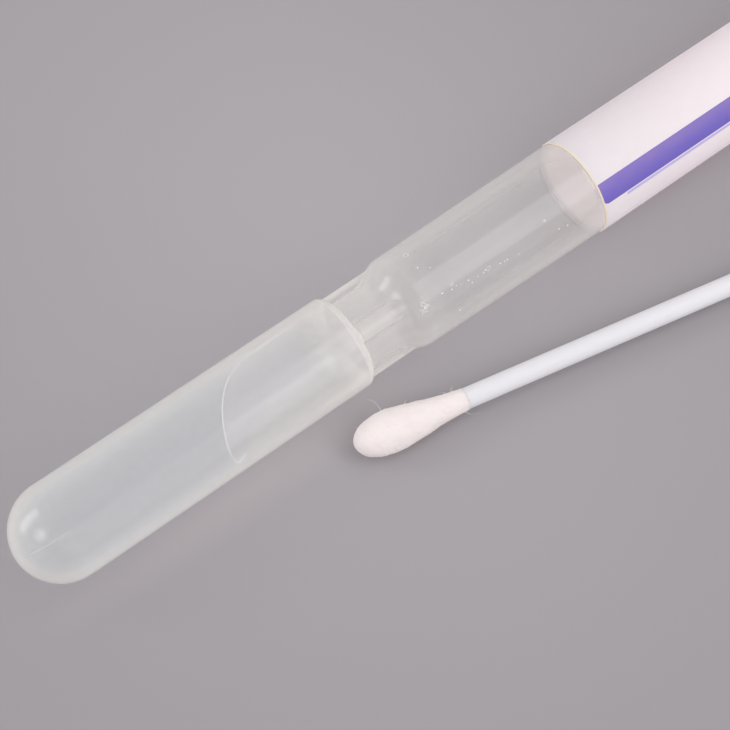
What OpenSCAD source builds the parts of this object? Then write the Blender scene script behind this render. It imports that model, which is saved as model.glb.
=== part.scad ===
// Specimen swab tube: a soft squeeze bulb with a ribbed snap-valve neck, pushed into a labelled
// sample tube, with its swab taken out and lying beside it. Everything rests on the plane z = 0.
// Revolved pieces are drawn along +Z, as [radius, station] profiles, and then laid along +X.
// Stations are counted from the centre of the bulb's round end.

/* [Bulb] */
// Outer diameter of the squeeze bulb
bulb_d = 12; // [9:0.5:16]
// Station of the shoulder face, where the bulb ends
bulb_end = 39.8; // [30:0.2:60]
// Wall of the bulb
bulb_wall = 1.0; // [0.6:0.1:1.5]
// Thickness of the wall that carries the valve
end_wall = 3.3; // [2.8:0.1:5]
// Rounding of the bulb's shoulder
shoulder_round = 1.2; // [0.6:0.1:1.4]
// Rounding at the end of the bulb's cavity
cavity_round = 0.8; // [0.4:0.1:1]

/* [Neck] */
// Diameter of the neck between its ribs
neck_d = 8.9; // [8:0.1:9.4]
// Length of the neck, from the shoulder to the start of the flare
neck_len = 3.9; // [3:0.1:8]
// Diameter over the crests of the ribs
rib_crest_d = 11.0; // [10.4:0.1:11.6]
// Width of a rib
rib_w = 2.3; // [1.6:0.1:3]
// Number of ribs round the neck
rib_count = 4; // [2:1:6]
// Turn of the first rib from upright, as the bulb lies
rib_turn = 28; // [0:1:89]
// Fillet between the shoulder and the neck
neck_fillet = 0.3; // [0.2:0.05:0.35]
// Length of the flare from the neck to the collar
flare_len = 4.5; // [3:0.1:6]

/* [Collar] */
// Diameter where the collar starts
collar_start_d = 12.04; // [11.6:0.02:13]
// Length of the collar
collar_len = 26.0; // [20:0.5:40]
// Wall of the collar
collar_wall = 0.95; // [0.7:0.05:1.2]
// Length of the conical floor inside the collar
floor_len = 3; // [2:0.2:5]
// Length of the cone inside the collar that leads into the spigot
throat_len = 2.4; // [1.6:0.2:4]
// Distance from the end of that cone to the collar's end
throat_back = 0.6; // [0.4:0.1:1]
// Length of the spigot that goes into the tube
spigot_len = 12; // [8:0.5:18]
// Wall of the spigot
spigot_wall = 0.85; // [0.7:0.05:1]
// Chamfer at the spigot's tip
spigot_chamfer = 0.4; // [0.2:0.1:0.6]

/* [Snap valve] */
// Diameter of the valve's body in the neck
valve_d = 5.8; // [5:0.1:6.2]
// Diameter of the valve's flange
flange_d = 7.0; // [6.6:0.1:7.4]
// Thickness of the flange
flange_t = 1.3; // [1:0.1:1.5]
// Depth of the flange below the end of the bulb's cavity
flange_sink = 0.25; // [0.15:0.05:0.4]
// Diameter of the snap-off stem
stem_d = 2.2; // [1.8:0.1:2.6]
// Length of the snap-off stem
stem_len = 2.4; // [1.5:0.1:4]
// Diameter at the groove where the stem snaps
snap_d = 1.7; // [1.5:0.05:1.75]
// Width of the groove
snap_w = 0.4; // [0.3:0.1:0.6]
// Diameter of the flow bore that the stem closes
flow_d = 1.2; // [0.8:0.1:1.3]
// Depth of the socket for the swab's stick
socket_depth = 6; // [4:0.5:7]

/* [Buffer] */
// Radius of the air bubble over the liquid
bubble_r = 10.65; // [9:0.05:12]
// Distance of the bubble's axis from the bulb's axis
bubble_off = 7.03; // [6:0.01:8]
// Distance from the centre of the bubble's round nose to the end of the cavity
bubble_back = 6.1; // [3:0.1:10]
// Turn of the bubble from upright
bubble_turn = 68; // [0:1:90]

/* [Tube] */
// Outer diameter of the bare tube
tube_d = 12.9; // [12.4:0.02:14]
// Wall of the bare tube
tube_wall = 1.0; // [0.8:0.05:1.2]
// Depth of the shallow panel that the label lies in; the collar is flush with it
panel_depth = 0.15; // [0.1:0.01:0.25]
// Length of the tube, from its mouth to its round end
tube_len = 91.7; // [70:0.5:130]
// Length of the label, from the tube's mouth
label_len = 60; // [40:1:75]
// Thickness of the label
label_t = 0.13; // [0.06:0.01:0.2]

/* [Swab] */
// Length of the whole swab
swab_len = 114; // [80:1:160]
// Diameter of the swab's stick
stick_d = 2.6; // [2:0.1:3]
// Bore of the hollow stick
stick_bore_d = 1.4; // [0.8:0.1:1.6]
// Largest diameter of the fibre bud
bud_d = 5.25; // [4:0.05:6]
// Thickness of the fibre where the bud runs out on the stick
bud_edge = 0.12; // [0.1:0.02:0.4]
// Length of the bud
bud_len = 14.4; // [10:0.2:20]
// Distance from the tip to the widest place of the bud
bud_widest = 4.2; // [3:0.1:6]
// Thickness of fibre over the end of the stick
bud_cap = 2.2; // [1.5:0.1:3]
// Station of the bud's tip along the tube
swab_x = 33.1; // [0:0.1:60]
// Gap between the bulb and the bud's tip, seen from above
swab_gap = 1.6; // [0.8:0.1:20]
// Turn of the swab away from the tube
swab_turn = -11.7; // [-30:0.1:0]

/* [Clearances] */
// Radial clearance of the spigot in the tube, and of the valve in the neck
fit_gap = 0.05; // [0.02:0.01:0.1]
// Gap between the collar and the tube's mouth
seam_gap = 0.1; // [0.05:0.05:0.3]
// Gap under the label, round the liquid and round the stick in the bud
skin_gap = 0.02; // [0.01:0.01:0.05]

/* [Hidden] */
$fn = 96;

tube_r = tube_d / 2;
tube_bore_r = tube_r - tube_wall;
panel_r = tube_r - panel_depth;

bulb_r = bulb_d / 2;
body_r = max(bulb_r, tube_r);
cavity_r = bulb_r - bulb_wall;
cavity_end = bulb_end - end_wall;
neck_r = neck_d / 2;
fillet_r = min(neck_fillet, bulb_r - shoulder_round - neck_r);
flare_start = bulb_end + neck_len;
collar_start = flare_start + flare_len;
collar_start_r = collar_start_d / 2;
collar_end_r = panel_r;
collar_end = collar_start + collar_len;
spigot_end = collar_end + spigot_len;
spigot_r = tube_bore_r - fit_gap;
spigot_bore_r = spigot_r - spigot_wall;
seat = cavity_end + flange_sink;
recess_end = seat + flange_t + fit_gap;
recess_r = flange_d / 2 + fit_gap;
valve_end = collar_start - flare_len / 4;
valve_bore_r = valve_d / 2 + fit_gap;
floor_end = valve_end + floor_len;
throat_end = collar_end - throat_back;
throat_start = throat_end - throat_len;
rib_r = rib_w / 2;
rib_centre_r = rib_crest_d / 2 - rib_r;

bubble_start = cavity_end - bubble_back;

mouth = collar_end + seam_gap;
tube_end = mouth + tube_len;
dome_centre = tube_end - tube_r;

stick_r = stick_d / 2;
bud_r = bud_d / 2;
bud_end_r = stick_r + bud_edge;
tail_steps = 20;
tail_step = (bud_len - bud_widest) / tail_steps;
swab_dip = atan((bud_r - stick_r) / (swab_len - bud_widest));
swab_reach = swab_len * cos(swab_dip);
swab_y = -bulb_r - swab_gap - bud_r;

// The origin is on the resting plane, under the middle of the whole set.
low_x = -bulb_r;
high_x = max(tube_end, swab_x + swab_reach * cos(swab_turn) + stick_r);
low_y = swab_y + swab_reach * sin(swab_turn) - stick_r * cos(swab_turn);
high_y = body_r;
origin_x = (low_x + high_x) / 2;
origin_y = (low_y + high_y) / 2;

// A little more than nothing, so that cutting shapes run past the faces they cut.
over = 0.5;

// Lays a shape drawn along +Z on the tube's axis, with its -X side up.
module laid() {
    translate([-origin_x, -origin_y, body_r]) rotate([0, 90, 0]) children();
}

// Revolves the part of a [radius, station] profile that lies right of the axis.
module turned(from, to) {
    rotate_extrude() intersection() {
        translate([0, from]) square([body_r + over, to - from]);
        children();
    }
}

// Profile of a plain cylinder.
module rod(from, to, r) {
    translate([0, from]) square([r, to - from]);
}

// Profile of a cylinder with a full round start and a rounded far edge.
module capsule(r, end, edge) {
    circle(r);
    rod(0, end - edge, r);
    rod(end - edge - over, end, r - edge);
    translate([r - edge, end - edge]) circle(edge);
}

// Profile of a cone between two stations.
module cone(from, r_from, to, r_to) {
    polygon([[0, from], [r_from, from], [r_to, to], [0, to]]);
}

// Profile of an S-shaped widening made of two equal arcs, tangent to the axis at both ends.
module flare(from, r_from, to, r_to) {
    rise = r_to - r_from;
    len = to - from;
    arc = (len * len + rise * rise) / (4 * rise);
    difference() {
        rod(from, from + len / 2, (r_from + r_to) / 2);
        translate([r_from + arc, from]) circle(arc);
    }
    rod(from + len / 2, to, (r_from + r_to) / 2);
    intersection() {
        translate([r_to - arc, to]) circle(arc);
        rod(from + len / 2, to, r_to);
    }
}

// Profile of a quarter-round fillet that starts at a face and runs out on a neck.
module fillet(station, r, size) {
    translate([r - over, station]) square([over, size]);
    difference() {
        translate([r, station]) square(size);
        translate([r + size, station + size]) circle(size);
    }
}

// One round-topped rib, from inside the shoulder to inside the flare.
module rib() {
    len = collar_start - cavity_end;
    translate([0, 0, cavity_end]) {
        translate([rib_centre_r, 0, 0]) cylinder(r = rib_r, h = len);
        translate([0, -rib_r, 0]) cube([rib_centre_r, rib_w, len]);
    }
}

module bulb_outside() {
    turned(-bulb_r, spigot_end) {
        capsule(bulb_r, bulb_end, shoulder_round);
        rod(bulb_end - over, flare_start, neck_r);
        if (fillet_r > 0) fillet(bulb_end, neck_r, fillet_r);
        flare(flare_start, neck_r, collar_start, collar_start_r);
        cone(collar_start, collar_start_r, collar_end, collar_end_r);
        rod(collar_end - over, spigot_end - spigot_chamfer, spigot_r);
        cone(spigot_end - spigot_chamfer, spigot_r, spigot_end, spigot_r - spigot_chamfer);
    }
    for (i = [0 : rib_count - 1]) rotate(rib_turn + i * 360 / rib_count) rib();
}

module bulb_inside() {
    turned(-cavity_r, spigot_end + over) {
        capsule(cavity_r, cavity_end, cavity_round);
        rod(cavity_end - over, recess_end, recess_r);
        rod(recess_end - over, valve_end + over, valve_bore_r);
        cone(valve_end, valve_bore_r, floor_end, collar_start_r - collar_wall);
        cone(floor_end, collar_start_r - collar_wall, throat_start, collar_end_r - collar_wall);
        cone(throat_start, collar_end_r - collar_wall, throat_end, spigot_bore_r);
        rod(throat_end - over, spigot_end + over, spigot_bore_r);
    }
}

// Squeeze bulb, ribbed neck, collar and spigot: one soft moulding.
module valve_bulb() {
    color([0.86, 0.87, 0.85, 0.6]) laid() difference() {
        bulb_outside();
        bulb_inside();
    }
}

// Plug that closes the neck: its stem snaps off when the bulb is bent, and its socket holds the stick.
module snap_valve() {
    color([0.82, 0.83, 0.83]) laid() difference() {
        turned(seat - stem_len, valve_end) {
            translate([0, seat - stem_len + stem_d / 2]) circle(d = stem_d);
            rod(seat - stem_len + stem_d / 2, seat - snap_w, stem_d / 2);
            rod(seat - snap_w - over, seat + over, snap_d / 2);
            rod(seat, seat + flange_t, flange_d / 2);
            rod(seat + flange_t - over, valve_end, valve_d / 2);
        }
        translate([0, 0, valve_end - socket_depth]) cylinder(r = stick_r + fit_gap, h = socket_depth + over);
        translate([0, 0, seat - snap_w / 2]) cylinder(d = flow_d, h = valve_end - seat);
    }
}

// Liquid in the bulb, with the air bubble's hollow cut out of it.
module buffer() {
    fill_r = cavity_r - skin_gap;
    color([0.78, 0.8, 0.8, 0.4]) laid() difference() {
        turned(-fill_r, cavity_end) capsule(fill_r, cavity_end - skin_gap, cavity_round);
        rotate(180 + bubble_turn) translate([bubble_off, 0, bubble_start]) {
            sphere(bubble_r);
            cylinder(r = bubble_r, h = cavity_end - bubble_start + over);
        }
    }
}

// Round-ended tube with a shallow panel for its label.
module sample_tube() {
    color([0.9, 0.91, 0.92]) laid() difference() {
        turned(mouth, tube_end) {
            rod(mouth, mouth + label_len, panel_r);
            rod(mouth + label_len, dome_centre, tube_r);
            translate([0, dome_centre]) circle(tube_r);
        }
        turned(mouth - over, tube_end) {
            rod(mouth - over, dome_centre, tube_bore_r);
            translate([0, dome_centre]) circle(tube_bore_r);
        }
    }
}

// Paper label wrapped round the panel.
module label_wrap() {
    color([0.95, 0.94, 0.97]) laid() translate([0, 0, mouth]) difference() {
        cylinder(r = panel_r + label_t, h = label_len - seam_gap);
        translate([0, 0, -over]) cylinder(r = panel_r + skin_gap, h = label_len + 2 * over);
    }
}

// Lays the swab down: its bud and its far end both touch the resting plane.
module swab_laid() {
    tip_z = bud_r + bud_widest * sin(swab_dip);
    translate([swab_x - origin_x, swab_y - origin_y, tip_z])
        rotate([0, 90 + swab_dip, swab_turn])
            children();
}

// Hollow stick.
module swab_stick() {
    color([0.93, 0.92, 0.95]) swab_laid() difference() {
        translate([0, 0, bud_cap]) cylinder(r = stick_r, h = swab_len - bud_cap);
        translate([0, 0, bud_cap - over]) cylinder(d = stick_bore_d, h = swab_len);
    }
}

// Radius of the bud's long soft run-out, past its widest place.
function run_out(z) = (bud_r + bud_end_r) / 2
    + (bud_r - bud_end_r) / 2 * cos(180 * (z - bud_widest) / (bud_len - bud_widest));

// Fibre bud wound on the stick's end: half an ellipse, then the run-out.
module swab_bud() {
    nose = [for (a = [0 : 6 : 90]) [bud_r * sin(a), bud_widest * (1 - cos(a))]];
    tail = [for (i = [1 : tail_steps]) let(z = bud_widest + i * tail_step) [run_out(z), z]];
    color([0.98, 0.96, 0.94]) swab_laid() difference() {
        rotate_extrude() polygon(concat(nose, tail, [[0, bud_len]]));
        translate([0, 0, bud_cap - skin_gap]) cylinder(r = stick_r + skin_gap, h = bud_len);
    }
}

valve_bulb();
snap_valve();
buffer();
sample_tube();
label_wrap();
swab_stick();
swab_bud();
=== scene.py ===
"""Looks of the specimen swab tube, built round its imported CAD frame. MM turns lengths in mm into metres."""

import math
import random

import bmesh
import bpy
import numpy as np
from mathutils import Matrix, Vector, noise


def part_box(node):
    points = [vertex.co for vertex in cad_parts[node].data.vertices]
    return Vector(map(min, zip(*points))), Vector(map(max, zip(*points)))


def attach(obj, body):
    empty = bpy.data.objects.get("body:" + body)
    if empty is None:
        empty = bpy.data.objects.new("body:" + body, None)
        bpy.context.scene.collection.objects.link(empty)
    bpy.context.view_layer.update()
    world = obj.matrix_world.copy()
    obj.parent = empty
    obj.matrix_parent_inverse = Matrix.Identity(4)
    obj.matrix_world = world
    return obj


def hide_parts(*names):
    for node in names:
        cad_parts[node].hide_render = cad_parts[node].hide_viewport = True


MM = 0.001
TAU = 2 * math.pi

# --- Sizes in mm, as in the part's source. Stations run along the tube from the round end's centre.
# Turns are in degrees from upright towards the swab's side.

BULB_R, BULB_WALL, BULB_END, SHOULDER = 6.0, 1.0, 39.8, 1.2
CAVITY_END, CAVITY_ROUND = 36.5, 0.8
NECK_R, NECK_FILLET, FLARE_START, FLARE_LEN = 4.45, 0.3, 43.7, 4.5
RIB_CREST, RIB_R, RIB_TURN, RIB_COUNT = 5.5, 1.15, 28.0, 4
COLLAR_START_R, COLLAR_END, COLLAR_END_R, COLLAR_WALL = 6.02, 74.2, 6.3, 0.95
SPIGOT_R, SPIGOT_WALL, SPIGOT_END, SPIGOT_CHAMFER = 5.4, 0.85, 86.2, 0.4
RECESS_R, RECESS_END, VALVE_BORE_R = 3.55, 38.1, 2.95
FLOOR_LEN, THROAT_BACK, THROAT_LEN = 3.0, 0.6, 2.4
TUBE_R, TUBE_WALL, PANEL_R, MOUTH, TUBE_LEN = 6.45, 1.0, 6.3, 74.3, 91.7
LABEL_LEN, LABEL_T = 60.0, 0.13
STRIPE_FROM, STRIPE_TO, STRIPE_CORNER = 36.0, 61.6, 0.85
LINE_FROM, LINE_TO, LINE_START = 63.0, 66.2, 3.6
EDGE_LINE = 0.15  # how far the cut edge's warm line reaches over the label's face
BUBBLE_R, BUBBLE_OFF, BUBBLE_START, BUBBLE_TURN = 10.65, 7.03, 30.4, 68.0
STICK_R, BUD_R, BUD_LEN, BUD_WIDEST, BUD_EDGE = 1.3, 2.625, 14.4, 4.2, 0.12
SWAB_LEN, SWAB_X, SWAB_GAP, SWAB_TURN = 114.0, 33.1, 1.6, -11.7
SEAM_TURN = 29.0  # the mould's parting plane, through the ribs
CORNER = 0.05  # a thin ring this far from a sharp corner keeps the smooth shading flat up to it
MENISCUS_INSET = 0.12  # from the cavity's wall to the middle of the bead on it
FADE_LEN = 1.8  # the label's far half comes in over this length, as it shows softly through the plastic
WELD = 2e-7  # points closer than this are one, in metres

COLLAR_START = FLARE_START + FLARE_LEN
VALVE_END = COLLAR_START - FLARE_LEN / 4
THROAT_END = COLLAR_END - THROAT_BACK
CAVITY_R = BULB_R - BULB_WALL
SPIGOT_BORE = SPIGOT_R - SPIGOT_WALL
DOME = MOUTH + TUBE_LEN - TUBE_R
BORE_R = TUBE_R - TUBE_WALL
PANEL_END = MOUTH + LABEL_LEN
LABEL_R = PANEL_R + LABEL_T
LABEL_START = MOUTH - 0.07
LABEL_END = PANEL_END - 0.1

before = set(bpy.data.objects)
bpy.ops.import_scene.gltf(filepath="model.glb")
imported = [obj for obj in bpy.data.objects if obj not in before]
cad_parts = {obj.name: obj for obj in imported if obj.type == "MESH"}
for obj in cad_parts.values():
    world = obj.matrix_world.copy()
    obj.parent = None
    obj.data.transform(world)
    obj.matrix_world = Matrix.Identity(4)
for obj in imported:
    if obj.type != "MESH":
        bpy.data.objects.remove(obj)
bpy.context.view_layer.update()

low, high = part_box("valve_bulb")
AXIS = Vector((low.x + BULB_R * MM, (low.y + high.y) / 2, (low.z + high.z) / 2))


def at(station, r, turn):
    """Point at a station and radius, at a turn in radians from upright towards the swab's side, -Y."""
    return (
        AXIS.x + station * MM,
        AXIS.y - r * MM * math.sin(turn),
        AXIS.z + r * MM * math.cos(turn),
    )


# --- Profiles: lists of (station, radius)


def arc(station, r, radius, first, last, steps):
    """Points round (station, r), between two angles in degrees: 0 is along the axis and 90 is outwards."""
    angles = [math.radians(first + (last - first) * i / steps) for i in range(steps + 1)]
    return [(station + radius * math.cos(a), r + radius * math.sin(a)) for a in angles]


def line(p, q, steps):
    """Evenly spaced points from p to q."""
    return [(p[0] + (q[0] - p[0]) * i / steps, p[1] + (q[1] - p[1]) * i / steps) for i in range(steps + 1)]


def flare(steps):
    """The reversed curve from the neck out to the collar: two equal arcs."""
    rise = COLLAR_START_R - NECK_R
    radius = (FLARE_LEN**2 + rise**2) / (4 * rise)
    out = []
    for i in range(1, steps + 1):
        x = FLARE_LEN * i / steps
        if x <= FLARE_LEN / 2:
            r = NECK_R + radius - math.sqrt(radius**2 - x**2)
        else:
            r = COLLAR_START_R - radius + math.sqrt(radius**2 - (FLARE_LEN - x) ** 2)
        out.append((FLARE_START + x, r))
    return out


def no_repeats(points):
    """The points, without those that lie on the one before."""
    out = [points[0]]
    for p in points[1:]:
        if math.dist(p, out[-1]) > 1e-4:
            out.append(p)
    return out


OUTSIDE = no_repeats(
    arc(0, 0, BULB_R, 180, 90, 26)
    + line((0, BULB_R), (BULB_END - SHOULDER, BULB_R), 22)
    + arc(BULB_END - SHOULDER, BULB_R - SHOULDER, SHOULDER, 90, 0, 10)
    + line((BULB_END, BULB_R - SHOULDER), (BULB_END, NECK_R + NECK_FILLET), 2)
    + arc(BULB_END + NECK_FILLET, NECK_R + NECK_FILLET, NECK_FILLET, 180, 270, 5)
    + line((BULB_END + NECK_FILLET, NECK_R), (FLARE_START, NECK_R), 12)
    + flare(24)
    + line((COLLAR_START, COLLAR_START_R), (COLLAR_END - CORNER, COLLAR_END_R), 16)
    + [(COLLAR_END, COLLAR_END_R), (COLLAR_END, SPIGOT_R + CORNER), (COLLAR_END, SPIGOT_R)]
    + line((COLLAR_END + CORNER, SPIGOT_R), (SPIGOT_END - SPIGOT_CHAMFER, SPIGOT_R), 4)
    + [(SPIGOT_END, SPIGOT_R - SPIGOT_CHAMFER)]
)
WIDE_FROM = (THROAT_END - THROAT_LEN, COLLAR_END_R - COLLAR_WALL)
WIDE_TO = (VALVE_END + FLOOR_LEN, COLLAR_START_R - COLLAR_WALL)
INSIDE = no_repeats(
    line((SPIGOT_END, SPIGOT_BORE), (THROAT_END, SPIGOT_BORE), 4)
    + line(WIDE_FROM, WIDE_TO, 8)
    + line(WIDE_TO, (VALVE_END, VALVE_BORE_R), 3)
    + line((VALVE_END, VALVE_BORE_R), (RECESS_END, VALVE_BORE_R), 4)
    + [(RECESS_END, RECESS_R), (CAVITY_END, RECESS_R)]
    + arc(CAVITY_END - CAVITY_ROUND, CAVITY_R - CAVITY_ROUND, CAVITY_ROUND, 0, 90, 8)
    + line((CAVITY_END - CAVITY_ROUND, CAVITY_R), (0, CAVITY_R), 72)
    + arc(0, 0, CAVITY_R, 90, 180, 20)
)


def soft_max(a, b, blend):
    """The larger of two values, rounded where they cross."""
    near = np.maximum(blend - np.abs(a - b), 0) / blend
    return np.maximum(a, b) + near * near * blend / 4


def rib_radius(turn):
    """Radius of the ribs' round tops at turns in radians, or 0 between them."""
    centre = RIB_CREST - RIB_R
    step = TAU / RIB_COUNT
    from_rib = (turn - math.radians(RIB_TURN) + step / 2) % step - step / 2
    off = centre * np.sin(from_rib)
    top = centre * np.cos(from_rib) + np.sqrt(np.maximum(RIB_R**2 - off**2, 0))
    return np.where(np.abs(off) < RIB_R, top, 0)


# --- Meshes


def in_scene(name, data):
    """An object of this mesh, lamp or camera, in the scene."""
    obj = bpy.data.objects.new(name, data)
    bpy.context.scene.collection.objects.link(obj)
    return obj


def smooth_mesh(name, verts, faces, material=None, slots=None):
    """A smooth-shaded object of one material, or with a material slot for each face."""
    mesh = bpy.data.meshes.new(name)
    mesh.from_pydata(verts, [], faces)
    mesh.polygons.foreach_set("use_smooth", [True] * len(faces))
    if slots:
        mesh.polygons.foreach_set("material_index", slots)
    if material:
        mesh.materials.append(material)
    mesh.update()
    return in_scene(name, mesh)


def skin(rings, inside_out=False, closed=False):
    """Points and faces of a skin over rings of points, which can be one point each. closed adds a last band
    back to the first ring."""
    verts, faces, rows = [], [], []
    for ring in rings:
        rows.append(range(len(verts), len(verts) + len(ring)))
        verts.extend(ring)
    if closed:
        rows.append(rows[0])
    for a, b in zip(rows, rows[1:]):
        for i in range(max(len(a), len(b))):
            j = i + 1
            corners = [a[i % len(a)], a[j % len(a)], b[j % len(b)], b[i % len(b)]]
            if inside_out:
                corners = [corners[k] for k in (0, 3, 2, 1)]
            faces.append(tuple(dict.fromkeys(corners)))
    return verts, faces


def revolve(name, profile, turns, slot_of, radius_of=None):
    """A profile turned round the axis at these turns in degrees. slot_of gives a face's material slot from
    its (station, radius, turn in radians), and radius_of the radii of a ring that isn't round."""
    angles = np.radians(turns)
    rings = []
    for s, r in profile:
        radii = radius_of(s, r, angles) if radius_of else [r] * len(angles)
        on_axis = r < 1e-6
        rings.append([at(s, 0, 0)] if on_axis else [at(s, *spot) for spot in zip(radii, angles)])
    slots = []
    for (s1, r1), (s2, r2) in zip(profile, profile[1:]):
        slots += [slot_of((s1 + s2) / 2, (r1 + r2) / 2, a) for a in angles]
    verts, faces = skin(rings)
    return smooth_mesh(name, verts, faces, slots=slots)


def joined(name, *objs):
    """One object of several meshes, with coincident points welded."""
    bm = bmesh.new()
    for o in objs:
        bm.from_mesh(o.data)
    bmesh.ops.remove_doubles(bm, verts=bm.verts, dist=WELD)
    bmesh.ops.recalc_face_normals(bm, faces=bm.faces)
    mesh = bpy.data.meshes.new(name)
    bm.to_mesh(mesh)
    bm.free()
    for o in objs:
        bpy.data.objects.remove(o)
    return in_scene(name, mesh)


def fine_turns():
    """Turns of the moulding's mesh in degrees: denser over the ribs' flanks and the parting line."""
    out = set(np.round(np.arange(0, 360, 2.5), 3))
    for k in range(RIB_COUNT):
        rib = RIB_TURN + k * 360 / RIB_COUNT
        for side in (-1, 1):
            out.update(np.round((rib + side * np.arange(11.0, 18.01, 0.35)) % 360, 3))
    for half in (0, 180):
        out.update(np.round((SEAM_TURN + half + np.arange(-1.2, 1.21, 0.3)) % 360, 3))
    return sorted(out)


def smooth_step(value, low_end, high_end):
    """Rises from 0 at the low end to 1 at the high end, level at both."""
    t = min(1.0, max(0.0, (value - low_end) / (high_end - low_end)))
    return t * t * (3 - 2 * t)


# --- Materials


class Nodes:
    """A material's node tree, with short calls to add nodes and link them."""

    def __init__(self, name):
        self.mat = bpy.data.materials.new(name)
        self.mat.use_nodes = True
        self.tree = self.mat.node_tree
        self.tree.nodes.clear()
        self.out = self.add("OutputMaterial")

    def add(self, kind, **inputs):
        node = self.tree.nodes.new("ShaderNode" + kind)
        for key, value in inputs.items():
            self.put(node, key.replace("_", " "), value)
        return node

    def put(self, node, key, value):
        socket = node.inputs[int(key)] if key.isdigit() else node.inputs[key]
        if isinstance(value, bpy.types.NodeSocket):
            self.tree.links.new(value, socket)
        else:
            socket.default_value = value

    def numbered(self, kind, *values):
        """A node whose inputs are filled by number."""
        node = self.add(kind)
        for i, value in enumerate(values):
            self.put(node, str(i), value)
        return node

    def math(self, operation, *values):
        node = self.numbered("Math", *values)
        node.operation = operation
        return node.outputs[0]

    def vector_math(self, operation, *values):
        node = self.numbered("VectorMath", *values)
        node.operation = operation
        return node.outputs

    def ramp(self, fac, stops, smooth=False):
        node = self.add("ValToRGB", Fac=fac)
        ramp = node.color_ramp
        ramp.interpolation = "B_SPLINE" if smooth else "LINEAR"
        while len(ramp.elements) < len(stops):
            ramp.elements.new(0.5)
        for element, (pos, colour) in zip(ramp.elements, stops):
            element.position = pos
            element.color = (*colour, 1)
        return node.outputs["Color"]

    def place(self):
        """The place on the object, in metres."""
        return self.add("TexCoord").outputs["Object"]

    def noise(self, scale, detail=3.0, stretch=(1, 1, 1)):
        mapping = self.add("Mapping", Vector=self.place(), Scale=stretch)
        return self.add("TexNoise", Vector=mapping.outputs[0], Scale=scale, Detail=detail).outputs["Fac"]

    def cloudy(self, noise, colour, darker):
        """The colour, darker by a share where the noise is low."""
        return self.ramp(noise, [(0.3, tuple(c * (1 - darker) for c in colour)), (0.7, colour)])

    def bump(self, height, distance):
        return self.add("Bump", Height=height, Distance=distance, Strength=1.0).outputs[0]

    def mix(self, fac, a, b):
        return self.numbered("MixShader", fac, a, b).outputs[0]

    def backfacing(self):
        return self.add("NewGeometry").outputs["Backfacing"]

    def lamp_ray(self):
        """1 for the rays that look for a lamp, and 0 for the others."""
        return self.add("LightPath").outputs["Is Shadow Ray"]

    def outer_fresnel(self, ior):
        """Share of gloss on the side that faces out; the far side's inner face is left clear."""
        fresnel = self.add("Fresnel", IOR=ior).outputs[0]
        return self.math("MULTIPLY", fresnel, self.math("SUBTRACT", 1.0, self.backfacing()))

    def unless_lamp(self, share):
        """The share, but none for the rays that look for a lamp, so that gloss throws no shadow."""
        return self.math("MULTIPLY", share, self.math("SUBTRACT", 1.0, self.lamp_ray()))

    def principled(self, looks):
        """The finished material, a Principled surface with these inputs."""
        surface = self.add("BsdfPrincipled")
        for key, value in looks.items():
            self.put(surface, key, value)
        return self.done(surface.outputs[0])

    def done(self, shader):
        self.put(self.out, "Surface", shader)
        return self.mat


ALONG_TUBE = (0.3, 1, 1)  # stretches a noise along the tube
WHITE = (1, 1, 1, 1)

# Length of plastic that one crossing of a curved wall meets, in wall thicknesses, by how far the surface
# turns from the eye: 1 straight on, 3 at the rim. The share of light that the wall scatters grows with it.
WALL_PATH = [(0.0, 1.0), (0.13, 1.12), (0.29, 1.5), (0.45, 2.1), (0.65, 2.7), (1.0, 3.0)]
STOPPED = 0.15  # share of the scattered lamp light that the plastic stops; the rest goes straight on


def milky(
    name,
    tint,
    haze,
    rough=0.2,
    gloss_ior=1.6,
    clear=(0.97, 0.97, 0.975),
    ripple=0.00012,
    fine=0.05,
    limb=1.0,
    solid_haze=0.0,
):
    """Translucent plastic: clear where thin, whiter where more of it is in the way, with a soft gloss.
    limb is how fast it whitens towards the rim, and solid_haze adds haze by the mesh's solid attribute, which
    also carries the painted highlight and shade lines on and beside the ribs."""
    m = Nodes(name)
    facing = m.add("LayerWeight", Blend=0.5).outputs["Facing"]
    scattered = [(place, 1 - math.exp(-haze * (1 + limb * (length - 1)))) for place, length in WALL_PATH]
    share = m.ramp(facing, [(place, (part, part, part)) for place, part in scattered], smooth=True)
    if solid_haze:
        how_solid = m.add("Attribute")
        how_solid.attribute_name = "solid"
        extra = m.math("MULTIPLY", how_solid.outputs["Fac"], solid_haze)
        share = m.math("ADD", share, m.math("MULTIPLY", extra, m.math("SUBTRACT", 1.0, share)))
    wave = m.noise(140, detail=2.0, stretch=ALONG_TUBE)
    height = m.math("ADD", wave, m.math("MULTIPLY", m.noise(2600, detail=2.0), fine))
    normal = m.bump(height, ripple)
    colour = m.cloudy(m.noise(900, detail=4.0), tint, 0.03)
    front = m.add("BsdfDiffuse", Color=colour, Normal=normal).outputs[0]
    back = m.add("BsdfTranslucent", Color=colour, Normal=normal).outputs[0]
    white = m.mix(0.5, front, back)
    passed_on = m.math("MULTIPLY", m.lamp_ray(), 1 - STOPPED)
    share = m.math("MULTIPLY", share, m.math("SUBTRACT", 1.0, passed_on))
    see = m.add("BsdfTransparent", Color=(*clear, 1)).outputs[0]
    inner = m.mix(share, see, white)
    gloss = m.add("BsdfGlossy", Color=WHITE, Roughness=rough, Normal=normal).outputs[0]
    return m.done(m.mix(m.unless_lamp(m.outer_fresnel(gloss_ior)), inner, gloss))


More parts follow.
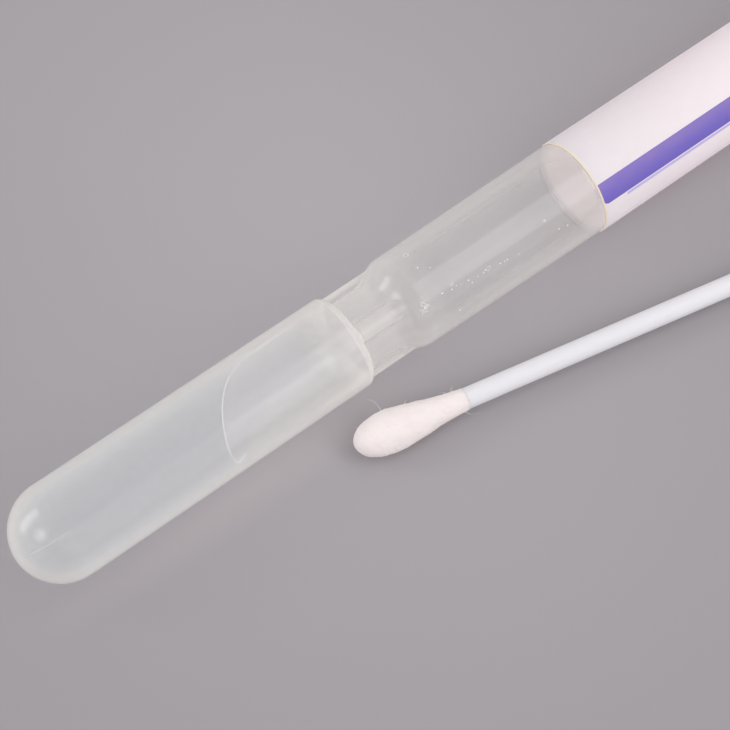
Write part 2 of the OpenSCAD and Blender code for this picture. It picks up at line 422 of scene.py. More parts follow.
def clear_skin(name, rough, shine, tint=(0.99, 0.99, 0.993), dull=0.0):
    """A clear surface seen through the plastic: only a share of gloss shows, and a little haze."""
    m = Nodes(name)
    normal = m.bump(m.noise(160, detail=2.0, stretch=ALONG_TUBE), 0.00001)
    see = m.add("BsdfTransparent", Color=(*tint, 1)).outputs[0]
    if dull:
        see = m.mix(dull, see, m.add("BsdfTranslucent", Color=(0.95, 0.95, 0.97, 1)).outputs[0])
    gloss = m.add("BsdfGlossy", Color=WHITE, Roughness=rough, Normal=normal).outputs[0]
    return m.done(m.mix(m.unless_lamp(shine), see, gloss))


def solid_looks(base, normal, rough, specular, soft=0.0, radius=(0.0012, 0.0011, 0.0011)):
    """Inputs of a Principled surface; soft is the share of light that goes a little way in."""
    looks = {"Base Color": base, "Normal": normal, "Roughness": rough, "Specular IOR Level": specular}
    if soft:
        looks |= {"Subsurface Weight": soft, "Subsurface Radius": radius, "Subsurface Scale": 1.0}
    return looks


def plain(name, colour, rough, grain, variation=0.03, soft=0.0, specular=0.5, stretch=(1, 1, 1)):
    """An even opaque surface; grain is the fineness of its faint bumps."""
    m = Nodes(name)
    base = m.cloudy(m.noise(grain * 0.3, stretch=stretch), colour, variation)
    normal = m.bump(m.noise(grain, stretch=stretch), 0.00003)
    return m.principled(solid_looks(base, normal, rough, specular, soft))


def fibre(name, colour):
    """Wound white fibre: light passes a little way in, so the bud stays pale on its shaded side."""
    m = Nodes(name)
    base = m.cloudy(m.noise(1500, stretch=(0.4, 1, 1)), colour, 0.025)
    normal = m.bump(m.noise(4200, stretch=(0.5, 1, 1)), 0.00008)
    looks = solid_looks(base, normal, rough=0.95, specular=0.1, soft=0.35, radius=(0.0012, 0.001, 0.0009))
    return m.principled(looks | {"Sheen Weight": 0.2, "Sheen Roughness": 0.5})


def paper(name, colour, glow, see_through=0.0, shade_glow=0.5, fade=None, fade_back=False):
    """A white film label: satin, with a share of the light let through. fade gives two places along X in
    metres, between which it comes in from nothing: its far edge shows only softly through the plastic."""
    m = Nodes(name)
    base = m.cloudy(m.noise(750), colour, 0.015)
    normal = m.bump(m.noise(2500), 0.00003)
    front = m.add("BsdfPrincipled", Base_Color=base, Roughness=0.42, Normal=normal).outputs[0]
    through = m.add("BsdfTranslucent", Color=base).outputs[0]
    sheet = m.mix(glow, front, through)
    passing = m.math("MAXIMUM", see_through, m.math("MULTIPLY", m.lamp_ray(), shade_glow))
    if fade:
        start, end = fade
        along = m.add("SeparateXYZ", Vector=m.place()).outputs["X"]
        gone = m.math("DIVIDE", m.math("SUBTRACT", end, along), end - start)
        gone = m.add("Clamp", Value=gone).outputs[0]
        if fade_back:
            gone = m.math("MULTIPLY", gone, m.backfacing())
        passing = m.math("MAXIMUM", passing, gone)
    return m.done(m.mix(passing, sheet, m.add("BsdfTransparent").outputs[0]))


INK_UPPER, INK_LOWER = (0.225, 0.15, 0.49), (0.165, 0.12, 0.52)


def stripe_ink(name):
    """Violet print: a little redder along its upper side, bluer along the lower one, faintly clouded."""
    m = Nodes(name)
    place = m.add("SeparateXYZ", Vector=m.place()).outputs["Y"]
    upper, lower = (AXIS.y - LABEL_R * MM * math.sin(math.radians(a)) for a in (STRIPE_FROM, STRIPE_TO))
    across = m.math("DIVIDE", m.math("SUBTRACT", upper, place), upper - lower)
    cloud = m.math("MULTIPLY", m.math("SUBTRACT", m.noise(420, stretch=(0.5, 1, 1)), 0.5), 1.1)
    base = m.ramp(m.math("ADD", across, cloud), [(0.1, INK_UPPER), (0.85, INK_LOWER)])
    return m.principled(solid_looks(base, m.bump(m.noise(2500), 0.00003), rough=0.4, specular=0.5))


NATURAL = (0.985, 0.96, 0.922)
BLUISH = (0.98, 0.981, 0.993)
SATIN = {"rough": 0.17, "gloss_ior": 1.5, "fine": 0.0, "solid_haze": 0.3}
DULL = {"rough": 0.25, "gloss_ior": 1.3, "fine": 0.0}
BULB = milky("bulb_plastic", NATURAL, haze=0.31, limb=1.6, ripple=0.00002, clear=BLUISH, **SATIN)
COLLAR = milky("collar_plastic", NATURAL, haze=0.15, limb=1.7, ripple=0.00001, **SATIN)
SPIGOT = milky("spigot_plastic", NATURAL, haze=0.09, limb=1.7, ripple=0.00001, **DULL)
DRY_SKIN = clear_skin("bulb_dry_skin", rough=0.3, shine=0.11)
WET_SKIN = clear_skin("bulb_wet_skin", rough=0.3, shine=0.01)
END_WALL = clear_skin("bulb_end_wall", rough=0.4, shine=0.01, dull=0.06)
# Painted shade: a grey tint on the cavity's rounded corner at the bulb's end, a dark ring in place of the
# shade that refraction throws there
CAVITY_CORNER_SHADE = clear_skin("cavity_corner_painted_shade", rough=0.3, shine=0.02, tint=(0.94, 0.945, 0.945))
COLLAR_SKIN = clear_skin("collar_inside", rough=0.3, shine=0.012, tint=(0.996, 0.996, 0.997))
THROAT = clear_skin("spigot_bore", rough=0.3, shine=0.0, tint=(1.0, 1.0, 1.0))
VALVE = milky("valve_plastic", NATURAL, haze=0.06, rough=0.4, gloss_ior=1.1)
LIQUID = clear_skin("buffer_body", rough=0.2, shine=0.005, tint=(0.965, 0.985, 1.0))
SURFACE = clear_skin("buffer_surface", rough=0.1, shine=0.03)
TUBE = milky("tube_plastic", NATURAL, haze=0.25)
FADE = (AXIS.x + MOUTH * MM, AXIS.x + (MOUTH + FADE_LEN) * MM)
LABEL = paper("label_paper", (0.97, 0.94, 0.976), glow=0.45, shade_glow=0.8, fade=FADE, fade_back=True)
WARM = (0.985, 0.885, 0.865)
LABEL_INSIDE = paper("label_inside", WARM, glow=0.46, see_through=0.35, shade_glow=1.0, fade=FADE)
LABEL_EDGE = paper("label_edge", (0.99, 0.86, 0.68), glow=0.3)
INK = stripe_ink("label_ink")
PALE_INK = plain("label_pale_ink", (0.57, 0.51, 0.83), rough=0.4, grain=2500)
DRAWN = {"variation": 0.02, "specular": 0.3, "soft": 0.5, "stretch": (0.05, 1, 1)}
STICK = plain("stick_plastic", (0.805, 0.78, 0.82), rough=0.5, grain=1200, **DRAWN)
FIBRE = fibre("bud_fibre", (0.90, 0.82, 0.81))
# near white: a painted highlight for the bright line where the bubble's edge meets the wall
MENISCUS_HIGHLIGHT = milky("meniscus_painted_highlight", (1.0, 0.99, 0.99), haze=2.4, rough=0.3, gloss_ior=1.2)
SEAM_PASTE = milky("mould_seam", (0.97, 0.965, 0.965), haze=0.13, rough=0.25, gloss_ior=1.2)
TORN = milky("gate_paste", (0.97, 0.97, 0.975), haze=0.42, rough=0.3, gloss_ior=1.2)
SPECK = milky("bright_speck", (1.0, 0.99, 0.99), haze=2.2)

# --- Bulb, neck, collar and spigot: one moulding

IN_BULB, IN_DRY, IN_END_WALL, IN_WET, IN_CORNER_SHADE, IN_COLLAR, IN_COLLAR_SKIN, IN_SPIGOT, IN_THROAT = range(9)
MOULDING = (BULB, DRY_SKIN, END_WALL, WET_SKIN, CAVITY_CORNER_SHADE, COLLAR, COLLAR_SKIN, SPIGOT, THROAT)
RIB_BLEND = 0.16


def outside_radius(s, r, angles):
    """The profile's radius, with the ribs run into it from the bulb's shoulder to the end of the flare."""
    radii = np.full(len(angles), float(r))
    if BULB_END - SHOULDER < s <= COLLAR_START and r < COLLAR_START_R:
        radii = soft_max(radii, rib_radius(angles), RIB_BLEND)
    return radii


def outside_slot(s, r, turn):
    """Material slot of a face of the moulding's outer skin."""
    if s > COLLAR_END - 0.01:
        return IN_SPIGOT
    return IN_BULB if s < BULB_END else IN_COLLAR


def wetted(s, r, turn):
    """True where the liquid touches the wall: outside the bubble, a ball run on to the cavity's end."""
    off = turn - math.radians(BUBBLE_TURN)
    across = r * r + BUBBLE_OFF**2 - 2 * r * BUBBLE_OFF * math.cos(off)
    return across + min(0, s - BUBBLE_START) ** 2 > BUBBLE_R**2


def inside_slot(s, r, turn):
    """Material slot of a face of the moulding's inner skin."""
    # the cavity's rounded corner takes the painted shade ring
    if abs(s - CAVITY_END) < CAVITY_ROUND and r > CAVITY_R - CAVITY_ROUND:
        return IN_CORNER_SHADE
    if s > THROAT_END - THROAT_LEN:
        return IN_THROAT
    if s > VALVE_END + FLOOR_LEN:
        return IN_COLLAR_SKIN
    if s > CAVITY_END - 0.1:
        return IN_END_WALL
    return IN_WET if wetted(s, r, turn) else IN_DRY


# How solid each part of the moulding looks, next to 0 for a plain wall
NECK_SOLID, FLARE_SOLID, RIM_SOLID, END_WALL_SOLID, MOUTH_SOLID = 0.75, 0.55, 1.8, 0.3, 0.3
# On the ribs: more haze on the crest, for its thicker plastic and as a painted highlight, and less beside it,
# a painted shade line at the rib's foot
RIB_CREST_SOLID_AND_HIGHLIGHT, RIB_FOOT_PAINTED_SHADE = 0.7, -0.5


def rib_solid(degrees):
    """More on a rib's top, for thicker plastic and as a painted highlight, and less beside it as a painted
    shade line at its foot, by the degrees from the rib's middle.
    """
    step = 360 / RIB_COUNT
    off = abs((degrees - RIB_TURN + step / 2) % step - step / 2)
    top = 1 - smooth_step(off, 8, 13)
    beside = smooth_step(off, 11, 14) * (1 - smooth_step(off, 15, 19))
    return RIB_CREST_SOLID_AND_HIGHLIGHT * top + RIB_FOOT_PAINTED_SHADE * beside


def solidness(spot):
    """How solid the plastic looks at a point of the moulding, with the painted highlight and shade lines on
    and beside the ribs.
    """
    s = (spot.x - AXIS.x) / MM
    r = math.hypot(spot.y - AXIS.y, spot.z - AXIS.z) / MM
    into_flare = smooth_step(s, FLARE_START, FLARE_START + 1.5)
    neck = smooth_step(s, BULB_END - 0.6, BULB_END + 0.4) * (1 - into_flare)
    flare_part = into_flare * (1 - smooth_step(s, COLLAR_START, COLLAR_START + 3.5))
    base = NECK_SOLID * neck + FLARE_SOLID * flare_part
    if neck and r > NECK_R - 0.05:
        turn = math.atan2(AXIS.y - spot.y, spot.z - AXIS.z)
        base += rib_solid(math.degrees(turn)) * neck
    rim = 0
    if r > BULB_R - SHOULDER - 0.1 and s < BULB_END + 0.05:
        lean = math.degrees(math.atan2(s - BULB_END + SHOULDER, max(r - BULB_R + SHOULDER, 0.01)))
        rim = smooth_step(lean, -6, 14)
    end_wall = smooth_step(s, CAVITY_END - 1.2, CAVITY_END + 0.3) * (s < BULB_END)
    mouth = smooth_step(s, COLLAR_END - 3.5, COLLAR_END - 0.5)
    return END_WALL_SOLID * end_wall + MOUTH_SOLID * mouth + (1 - rim) * base + RIM_SOLID * rim


outer = revolve("outer", OUTSIDE, fine_turns(), outside_slot, outside_radius)
inner = revolve("inner", INSIDE, fine_turns(), inside_slot)
moulding = joined("bulb_moulding", outer, inner)
for material in MOULDING:
    moulding.data.materials.append(material)
solid = moulding.data.attributes.new("solid", "FLOAT", "POINT")
for vertex in moulding.data.vertices:
    solid.data[vertex.index].value = solidness(vertex.co)
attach(moulding, "bulb_side")
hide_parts("valve_bulb")

# --- Liquid: the CAD's shape, with its free surface told apart from where it wets the wall

liquid = in_scene("buffer_liquid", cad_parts["buffer"].data.copy())
liquid.data.materials.clear()
for material in (LIQUID, SURFACE):
    liquid.data.materials.append(material)
for face in liquid.data.polygons:
    s = (face.center.x - AXIS.x) / MM
    r = math.hypot(face.center.y - AXIS.y, face.center.z - AXIS.z) / MM
    on_wall = math.hypot(min(s, 0), r) > CAVITY_R - 0.1 or s > CAVITY_END - 0.1
    face.material_index = 0 if on_wall else 1
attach(liquid, "bulb_side")
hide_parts("buffer")


def contact_line():
    """Where the bubble's edge meets the wall: pairs of (station, turn in radians)."""
    middle = math.radians(BUBBLE_TURN)
    side = math.acos((CAVITY_R**2 + BUBBLE_OFF**2 - BUBBLE_R**2) / (2 * CAVITY_R * BUBBLE_OFF))
    out = [(s, middle - side) for s in np.linspace(CAVITY_END - 1.5, BUBBLE_START + 0.2, 12)]
    for degrees in range(-123, 71):
        off = math.radians(degrees)
        across = CAVITY_R**2 + BUBBLE_OFF**2 - 2 * CAVITY_R * BUBBLE_OFF * math.cos(off)
        out.append((BUBBLE_START - math.sqrt(max(BUBBLE_R**2 - across, 0)), middle + off))
    return out


def bead(name, path, radius_at, material, sides=6):
    """A thin round bead along points on a wall. radius_at gives mm from the share of the way along."""
    spots = [Vector(p) for p in path]
    last = len(spots) - 1
    rings = []
    for i, spot in enumerate(spots):
        forward = (spots[min(i + 1, last)] - spots[max(i - 1, 0)]).normalized()
        side = forward.cross(Vector((0, spot.y - AXIS.y, spot.z - AXIS.z))).normalized()
        other = forward.cross(side).normalized()
        radius = radius_at(i / last) * MM
        angles = [TAU * k / sides for k in range(sides)]
        rings.append([spot + (side * math.cos(a) + other * math.sin(a)) * radius for a in angles])
    verts, faces = skin(rings)
    faces.append(tuple(reversed(range(sides))))
    faces.append(tuple(range(last * sides, (last + 1) * sides)))
    return smooth_mesh(name, verts, faces, material)


def meniscus_radius(share):
    """Thicker on the line's last stretch, low on the bulb."""
    return 0.052 + 0.05 * smooth_step(share, 0.66, 0.82)


# The bead is a real meniscus along the bubble's edge, drawn near white as a painted highlight of the bright
# line it shows
contact = [at(s, CAVITY_R - MENISCUS_INSET, turn) for s, turn in contact_line()]
meniscus = bead("buffer_meniscus", contact, meniscus_radius, MENISCUS_HIGHLIGHT)
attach(meniscus, "bulb_side")

# --- Small marks on the moulding: its parting line, a gate mark, specks and small rings on the collar

LENGTHWAYS = Vector((1, 0, 0))
SEAM_START, SEAM_PAST, SEAM_SUNK = 31, 0.4, 0.03  # degrees up the round end, mm along the bulb, mm into it
GATE_S, GATE_TURN, GATE_R, GATE_RIDGES = 47.9, 42.0, 0.62, 16
PIP_R, PIP_HEIGHT, PIP_SUNK = 0.13, 0.07, 0.03
ROW_SPECKS, ROW_START, ROW_STEP = 14, (50.4, 40), (0.75, 0.8)  # start and step are along and round
BUBBLE_RINGS = [(50.1, -22, 0.3), (52.3, 37, 0.2), (57.2, 46, 0.24)]  # station, turn, size
LONE_SPECKS = [  # station, turn, size
    (50.0, 1, 0.1),
    (51.2, 9, 0.06),
    (66.3, 36, 0.1),
    (67.6, 54, 0.08),
    (68.8, 56, 0.08),
    (52.0, 72, 0.09),
    (61.5, 52, 0.06),
]


def ride_bulb(obj):
    """Hangs a small thing on the bulb's body."""
    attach(obj, "bulb_side")


def swelling(thin, extra, power=1):
    """A bead's radius that swells from its ends to its middle."""
    return lambda share: thin + extra * math.sin(math.pi * share) ** power


def seam_path():
    """From low on the round end over it and a little way along the bulb, on the mould's parting plane."""
    turn = math.radians(SEAM_TURN)
    over = [(-BULB_R * math.cos(a), BULB_R * math.sin(a)) for a in np.radians(np.arange(SEAM_START, 92, 3))]
    return [at(s, r - SEAM_SUNK, turn) for s, r in over + [(SEAM_PAST, BULB_R)]]


def circle(centre, across, up, radius, steps=24):
    """Closed ring of points round a centre."""
    angles = [TAU * i / steps for i in range(steps + 1)]
    return [centre + (across * math.cos(a) + up * math.sin(a)) * radius * MM for a in angles]


def on_moulding(station, r, degrees):
    """A place on the moulding with its outward direction and the direction round it."""
    spot = Vector(at(station, r, math.radians(degrees)))
    out = Vector((0, spot.y - AXIS.y, spot.z - AXIS.z)).normalized()
    return spot, out, out.cross(LENGTHWAYS)


def on_collar(station, degrees):
    """A place just under the collar's outside, as on_moulding gives it."""
    along = (station - COLLAR_START) / (COLLAR_END - COLLAR_START)
    return on_moulding(station, COLLAR_START_R + (COLLAR_END_R - COLLAR_START_R) * along - 0.01, degrees)


def drop(name, centre, out, radius, height, material, rings=5, sides=12):
    """A shallow round drop or pip on a surface."""
    side = out.orthogonal().normalized()
    other = out.cross(side)
    angles = [TAU * i / sides for i in range(sides)]
    levels = [[centre + out * height * MM]]
    for k in range(1, rings + 1):
        down = math.pi / 2 * k / rings
        middle = centre + out * math.cos(down) * height * MM
        reach = math.sin(down) * radius * MM
        levels.append([middle + (side * math.cos(a) + other * math.sin(a)) * reach for a in angles])
    verts, faces = skin(levels, inside_out=True)
    faces.append(tuple(reversed(range(len(verts) - sides, len(verts)))))
    return smooth_mesh(name, verts, faces, material)


def gate_ridge(gate, out, side, dice):
    """Points of one short bent ridge at a random place in the gate mark."""
    way = TAU * dice.random()
    reach = GATE_R * math.sqrt(dice.random()) * MM
    place = gate + (LENGTHWAYS * math.cos(way) + side * math.sin(way)) * reach
    lie = way + dice.gauss(0, 0.7)
    run = (LENGTHWAYS * math.cos(lie) + side * math.sin(lie)) * dice.uniform(0.15, 0.4)
    bend = run.cross(out) * dice.uniform(-0.6, 0.6)
    return [place + (run * k + bend * k * k + out * 0.02) * MM for k in (-1.0, -0.5, 0.0, 0.5, 1.0)]


ride_bulb(bead("mould_seam", seam_path(), swelling(thin=0.02, extra=0.065, power=0.5), SEAM_PASTE))

dice = random.Random(5)
gate, gate_out, gate_side = on_moulding(GATE_S, COLLAR_START_R + 0.01, GATE_TURN)
for i in range(GATE_RIDGES):
    ridge = gate_ridge(gate, gate_out, gate_side, dice)
    ride_bulb(bead(f"gate_ridge_{i + 1}", ridge, swelling(thin=0.02, extra=0.045), TORN))
ride_bulb(drop("gate_pip", gate - gate_out * PIP_SUNK * MM, gate_out, PIP_R, PIP_HEIGHT, SEAM_PASTE))

specks = []
for i in range(ROW_SPECKS):
    station = ROW_START[0] + ROW_STEP[0] * i + dice.uniform(-0.4, 0.4)
    degrees = ROW_START[1] + ROW_STEP[1] * i + dice.gauss(0, 1.6)
    specks.append((station, degrees, dice.uniform(0.045, 0.085)))
for i, (station, degrees, size) in enumerate(specks + LONE_SPECKS):
    spot, out, _ = on_collar(station, degrees)
    ride_bulb(drop(f"speck_{i + 1}", spot, out, size, size * 0.7, SPECK))
for i, (station, degrees, size) in enumerate(BUBBLE_RINGS):
    spot, out, side = on_collar(station, degrees)
    ring = circle(spot, LENGTHWAYS, side, size)
    ride_bulb(bead(f"bubble_ring_{i + 1}", ring, swelling(thin=0.035, extra=0), TORN))

# --- Valve and stick: the CAD's shapes in new materials

for name, material in (("snap_valve", VALVE), ("swab_stick", STICK)):
    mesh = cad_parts[name].data
    mesh.materials.clear()
    mesh.materials.append(material)

# --- Tube: outside, round end, bore

TUBE_TURNS = np.arange(192) * 360 / 192
TUBE_OUTSIDE = no_repeats(
    line((MOUTH, PANEL_R), (PANEL_END, PANEL_R), 8)
    + line((PANEL_END, TUBE_R), (DOME, TUBE_R), 8)
    + arc(DOME, 0, TUBE_R, 90, 0, 24)
)
TUBE_INSIDE = no_repeats(
    arc(DOME, 0, BORE_R, 0, 90, 20)
    + line((DOME, BORE_R), (MOUTH, BORE_R), 12)
    + [(MOUTH, PANEL_R)]
)
MILKY_SIDE, CLEAR_SIDE = range(2)


def tube_slot(s, r, turn):
    """Milky where the tube is bare, clear under the label."""
    return CLEAR_SIDE if s < PANEL_END else MILKY_SIDE


tube_outside = revolve("tube_outside", TUBE_OUTSIDE, TUBE_TURNS, tube_slot)
tube_inside = revolve("tube_inside", TUBE_INSIDE, TUBE_TURNS, lambda s, r, turn: CLEAR_SIDE)
tube = joined("sample_tube_shell", tube_outside, tube_inside)
for material in (TUBE, THROAT):
    tube.data.materials.append(material)
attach(tube, "tube_side")
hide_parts("sample_tube")

# --- Label: a wrapped sheet with a violet stripe and a thin line, both plain

ON_PAPER, ON_EDGE, ON_STRIPE, ON_LINE, ON_INSIDE = range(5)
FAR_FROM, FAR_TO = 113, 293  # turns of the label's half that faces away
LABEL_INNER_R, LABEL_EDGE_R = PANEL_R + 0.02, LABEL_R - 0.03
FINE = 0.045  # mesh step at the printed edges


def label_turns():
    """Turns of the label's mesh in degrees: fine at the stripe's edges, one with a round corner."""
    fine = math.degrees(FINE / LABEL_R)
    out = [a for a in np.arange(0, 360, 2.5) if not STRIPE_FROM - 1 < a < LINE_TO + 1]
    out += [*np.arange(STRIPE_FROM, STRIPE_FROM + 1, fine), 42, 46, 50]
    out += [*np.arange(STRIPE_TO - 9, STRIPE_TO + 0.001, fine)]
    out += [STRIPE_FROM - 1, STRIPE_TO, LINE_FROM, LINE_TO, LINE_TO + 1]
    return sorted({round(float(a), 4) for a in out})


def label_rings():
    """Section of the label: (station, radius) from its inner face at the mouth to its far end."""
    near = {round(float(v), 4) for v in np.arange(0.04, 1.2, FINE)}
    stations = sorted(near | {LINE_START} | set(np.linspace(2, LABEL_LEN - 0.14, 30)))
    start = [(LABEL_START, LABEL_INNER_R), (LABEL_START, LABEL_EDGE_R)]
    end = [(LABEL_END, LABEL_EDGE_R), (LABEL_END, LABEL_INNER_R)]
    return start + [(MOUTH + v, LABEL_R) for v in stations] + end


def label_slot(first, second, degrees):
    """Material slot of the face between two places on the section, at this turn."""
    on_inside = first[1] == second[1] == LABEL_INNER_R
    on_top = first[1] == second[1] == LABEL_R
    far_half = FAR_FROM < degrees < FAR_TO
    along = (first[0] + second[0]) / 2 - MOUTH
    if on_inside or (far_half and first[0] == LABEL_START):
        return ON_INSIDE
    if not on_top or (along < EDGE_LINE and not far_half):
        return ON_EDGE
    if STRIPE_FROM < degrees < STRIPE_TO:
        over = STRIPE_CORNER - math.radians(STRIPE_TO - degrees) * LABEL_R
        short = STRIPE_CORNER - along
        cut_off = over > 0 and short > 0 and math.hypot(over, short) > STRIPE_CORNER
        return ON_PAPER if cut_off else ON_STRIPE
    if LINE_FROM < degrees < LINE_TO and along > LINE_START:
        return ON_LINE
    return ON_PAPER


turns = label_turns()
section = label_rings()
middles = [(a + b) / 2 for a, b in zip(turns, turns[1:] + [360 + turns[0]])]
slots = [label_slot(p, q, a) for p, q in zip(section, section[1:] + section[:1]) for a in middles]
verts, faces = skin([[at(s, r, math.radians(a)) for a in turns] for s, r in section], closed=True)
label = smooth_mesh("tube_label", verts, faces, slots=slots)
for material in (LABEL, LABEL_EDGE, INK, PALE_INK, LABEL_INSIDE):
    label.data.materials.append(material)
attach(label, "tube_side")
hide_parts("label_wrap")

# --- Swab: its wound bud, in a frame of its own along the stick

dip = math.atan((BUD_R - STICK_R) / (SWAB_LEN - BUD_WIDEST))
swing = math.radians(SWAB_TURN)
ALONG = Vector((math.cos(dip) * math.cos(swing), math.cos(dip) * math.sin(swing), -math.sin(dip)))
ACROSS = Vector((-math.sin(swing), math.cos(swing), 0))
ABOVE = ALONG.cross(ACROSS)
TIP = Vector(
    (
        AXIS.x + SWAB_X * MM,
        AXIS.y - (BULB_R + SWAB_GAP + BUD_R) * MM,
        (BUD_R + BUD_WIDEST * math.sin(dip)) * MM,
    )
)
HAIRS, HAIR_THICK, STRAY_THICK = 420, 0.018, 0.045  # how many, and radii in mm
STRAYS = [  # distance from the tip, turn, length, lean along the stick, curl round it
    (4.6, 20, 4.4, -0.3, -0.3),
    (13.2, 16, 1.5, 0.5, 0.3),
    (13.8, 200, 1.9, 1.0, -0.2),
    (12.6, 12, 1.3, -0.6, 0.2),
    (7.5, 15, 1.2, 0.6, 0.3),
]


def on_swab(z, r, turn):
    """Point at a distance from the tip and from the stick's axis."""
    return TIP + (ALONG * z + ACROSS * (r * math.cos(turn)) + ABOVE * (r * math.sin(turn))) * MM


def bud_radius(z):
    """The CAD's bud: an ellipse up to its widest place, then a cosine down to its edge on the stick."""
    if z < BUD_WIDEST:
        return BUD_R * math.sqrt(max(0.0, 1 - (1 - z / BUD_WIDEST) ** 2))
    end = STICK_R + BUD_EDGE
    share = (z - BUD_WIDEST) / (BUD_LEN - BUD_WIDEST)
    return (BUD_R + end) / 2 + (BUD_R - end) / 2 * math.cos(math.pi * share)


def lumpy(z, turn):
    """Radius of the wound fibre: slow lumps and finer strands, less of both towards the stick."""
    r = bud_radius(z)
    c, s = math.cos(turn), math.sin(turn)
    slow = Vector((z * 0.42, c * 1.1, s * 1.1))
    lump = noise.noise(slow) * 0.10 + noise.noise(slow * 2.3 + Vector((7, 1, 3))) * 0.05
    strand = noise.noise(Vector((z * 3.1 - turn * 0.6, c * 2.5, s * 2.5))) * 0.035
    to_edge = BUD_LEN - z
    fade = min(1.0, r / 0.8) * min(1.0, max(0.25, to_edge / 5))
    ragged = 0.9 + 0.5 * math.sin(3 * turn) + 0.4 * math.sin(7 * turn + 1)
    thin = 0.09 * max(0.0, 1 - to_edge / ragged)
    return max(0.0, r - 0.05 * fade + (lump + strand) * fade - thin)


def bud_rings(sides=128):
    """Rings of points over the bud, closer together on its round end."""
    places = [BUD_WIDEST * (1 - math.cos(a)) for a in np.radians(np.linspace(0, 90, 46))]
    places += list(np.linspace(BUD_WIDEST, BUD_LEN, 90))[1:]
    turns = [TAU * i / sides for i in range(sides)]
    tip = [on_swab(0, 0, 0)]
    return [tip] + [[on_swab(z, lumpy(z, turn), turn) for turn in turns] for z in places[1:]]


def thread(z, turn, length, lean, curl, thick):
    """A thin three-sided fibre that stands off the bud, lies over and thins out, kept above the floor."""
    base = on_swab(z, lumpy(z, turn) - 0.03, turn)
    out = (base - on_swab(z, 0, 0)).normalized()
    run = ALONG * lean + out.cross(ALONG) * curl
    corners = [0, TAU / 3, TAU * 2 / 3]
    steps = 6
    rings = []
    for k in range(steps + 1):
        t = k / steps
        spot = base + (out * (0.75 * t - 0.35 * t * t) + run * t * (0.4 + 0.6 * t)) * length * MM
        spot.z = max(spot.z, thick * MM)
        radius = thick * (1 - 0.6 * t) * MM
        rings.append([spot + (ALONG * math.cos(a) + ABOVE * math.sin(a)) * radius for a in corners])
    return rings


def hairs(name, count, dice):
    """Loose fibre ends all over the bud and a few longer strays, as one mesh."""
    threads = []
    for _ in range(count):
        z = BUD_LEN * (0.02 + 0.98 * dice.random() ** 0.8)
        turn = dice.uniform(0, TAU)
        length = dice.uniform(0.15, 0.5)
        lean = dice.gauss(0, 0.8)
        curl = dice.gauss(0, 0.8)
        threads.append(thread(z, turn, length, lean, curl, HAIR_THICK))
    for z, degrees, length, lean, curl in STRAYS:
        threads.append(thread(z, math.radians(degrees), length, lean, curl, STRAY_THICK))
    verts, faces = [], []
    for rings in threads:
        points, sides = skin(rings)
        faces += [tuple(len(verts) + corner for corner in side) for side in sides]
        verts += points
    return smooth_mesh(name, verts, faces, FIBRE)


verts, faces = skin(bud_rings(), inside_out=True)
bud = smooth_mesh("swab_bud_fibre", verts, faces, FIBRE)
fuzz = hairs("swab_bud_hairs", HAIRS, random.Random(11))
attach(fuzz, "bulb_side")
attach(bud, "bulb_side")
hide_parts("swab_bud")

# --- Floor, lights, camera: places and sizes in metres

# Painted light on the floor's colour: a pool of light round the object that falls off to darker grey, and a
# warm caustic streak beside the bulb
LIGHT_POOL_CENTRE, LIGHT_POOL_SIZE = (-0.03, 0.034, 0.0), (0.105, 0.13, 1.0)
LIGHT_POOL_TONES = [(0.0, (0.417, 0.396, 0.421)), (1.0, (0.26, 0.246, 0.26))]
# painted caustic: a warm streak of light painted on the floor along the bulb
CAUSTIC_STREAK_CENTRE, CAUSTIC_STREAK_SIZE = (-0.060, 0.0079, 0.0), (0.032, 0.0042, 1.0)
CAUSTIC_STREAK_TONES = [(0.0, (0.08, 0.055, 0.044)), (1.0, (0, 0, 0))]


def away_from(m, centre, size):
    """How far a place on the floor is from a centre: 1 on the edge of an ellipse of this size."""
    scale = [1 / v for v in size]
    start = [-c / v for c, v in zip(centre, size)]
    spot = m.add("Mapping", Vector=m.place(), Scale=scale, Location=start)
    return m.vector_math("LENGTH", spot.outputs[0])["Value"]


def floor_paint():
    """Grey, with a painted pool of light round the object that falls off to a darker grey at its edge, and
    slow cloudy changes.
    A soft warm painted streak of light lies along the bulb's near side, in place of the light the liquid
    throws."""
    m = Nodes("floor_grey_painted_light")
    cloud = m.math("MULTIPLY", m.math("SUBTRACT", m.noise(9), 0.5), 0.25)
    light_pool = m.math("ADD", away_from(m, LIGHT_POOL_CENTRE, LIGHT_POOL_SIZE), cloud)
    painted_caustic = m.ramp(away_from(m, CAUSTIC_STREAK_CENTRE, CAUSTIC_STREAK_SIZE), CAUSTIC_STREAK_TONES, smooth=True)
    colour = m.vector_math("ADD", m.ramp(light_pool, LIGHT_POOL_TONES, smooth=True), painted_caustic)["Vector"]
    return m.principled({"Base Color": colour, "Roughness": 0.7, "Specular IOR Level": 0.2})


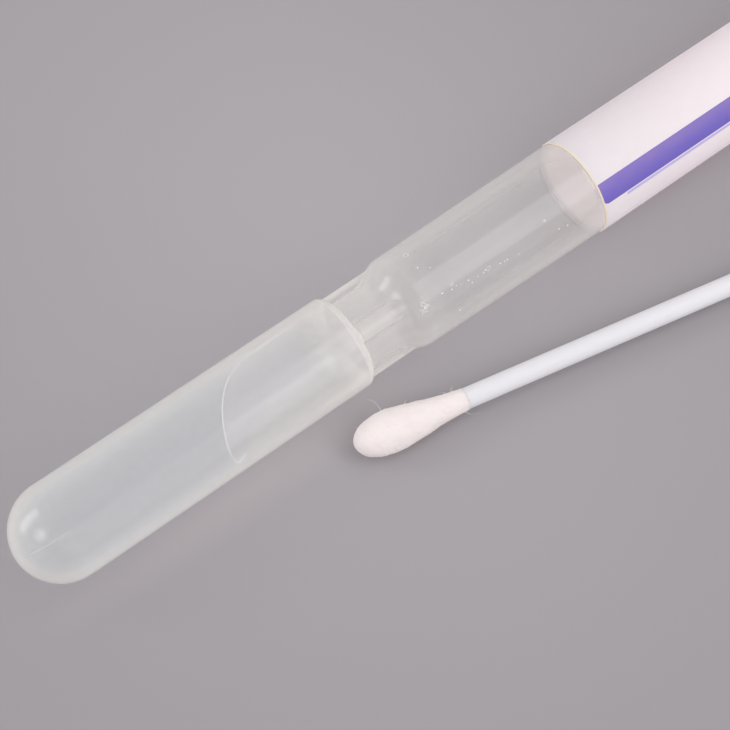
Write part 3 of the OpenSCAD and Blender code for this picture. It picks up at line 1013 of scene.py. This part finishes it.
bpy.ops.mesh.primitive_plane_add(size=4, location=(0, 0, 0))
ground = bpy.context.object
ground.name = "floor"
ground.data.materials.append(floor_paint())


def softbox(name, aim, direction, distance, size, strength, along=(1, 0, 0), shape="RECTANGLE"):
    """A lamp that faces aim from a direction. Its size is its width along a direction and its height."""
    data = bpy.data.lights.new(name, "AREA")
    data.shape = shape
    data.size, data.size_y = size
    data.energy = strength * math.pi * size[0] * size[1]
    z = Vector(direction).normalized()
    x = Vector(along)
    x = (x - z * x.dot(z)).normalized()
    turned = Matrix((x, z.cross(x), z)).transposed().to_4x4()
    in_scene(name, data).matrix_world = Matrix.Translation(Vector(aim) + z * distance) @ turned


COLLAR_SPOT, ROUND_END = (-0.02, 0.014, 0.006), (AXIS.x, AXIS.y, AXIS.z)
SLANT = (0.61, 0.15, 0.66)
softbox("near_softbox", COLLAR_SPOT, (0.19, -0.184, 0.336), 0.427, (0.19, 0.373), strength=1.8)
softbox("low_softbox", COLLAR_SPOT, (0.1, -0.85, 0.52), 0.85, (1.2, 0.8), strength=0.7)
softbox("left_window", ROUND_END, (-0.62, 0.64, 0.45), 0.5, (0.42, 0.15), strength=3.0, along=SLANT)
softbox("left_lamp", ROUND_END, (-0.74, -0.01, 0.675), 0.5, (0.22, 0.22), strength=2.2, shape="DISK")

world = bpy.data.worlds.new("studio")
world.use_nodes = True
world.node_tree.nodes["Background"].inputs["Color"].default_value = (0.66, 0.66, 0.66, 1)
bpy.context.scene.world = world

# The camera that fits the outlines in the photograph
EYE = Vector((-0.09743, -0.06451, 0.18850))
TARGET = Vector((-0.0388, 0.01251, 0.00045))
lens = bpy.data.cameras.new("camera")
lens.lens, lens.sensor_width = 86.63, 36.0
lens.clip_start, lens.clip_end = 0.01, 10
camera = in_scene("camera", lens)
camera.location = EYE
camera.rotation_mode = "QUATERNION"
camera.rotation_quaternion = (TARGET - EYE).to_track_quat("-Z", "Y")
bpy.context.scene.camera = camera

bpy.context.scene.view_settings.view_transform = "Standard"
bpy.context.scene.cycles.transparent_max_bounces = 24  # a look through the tube crosses up to ten walls
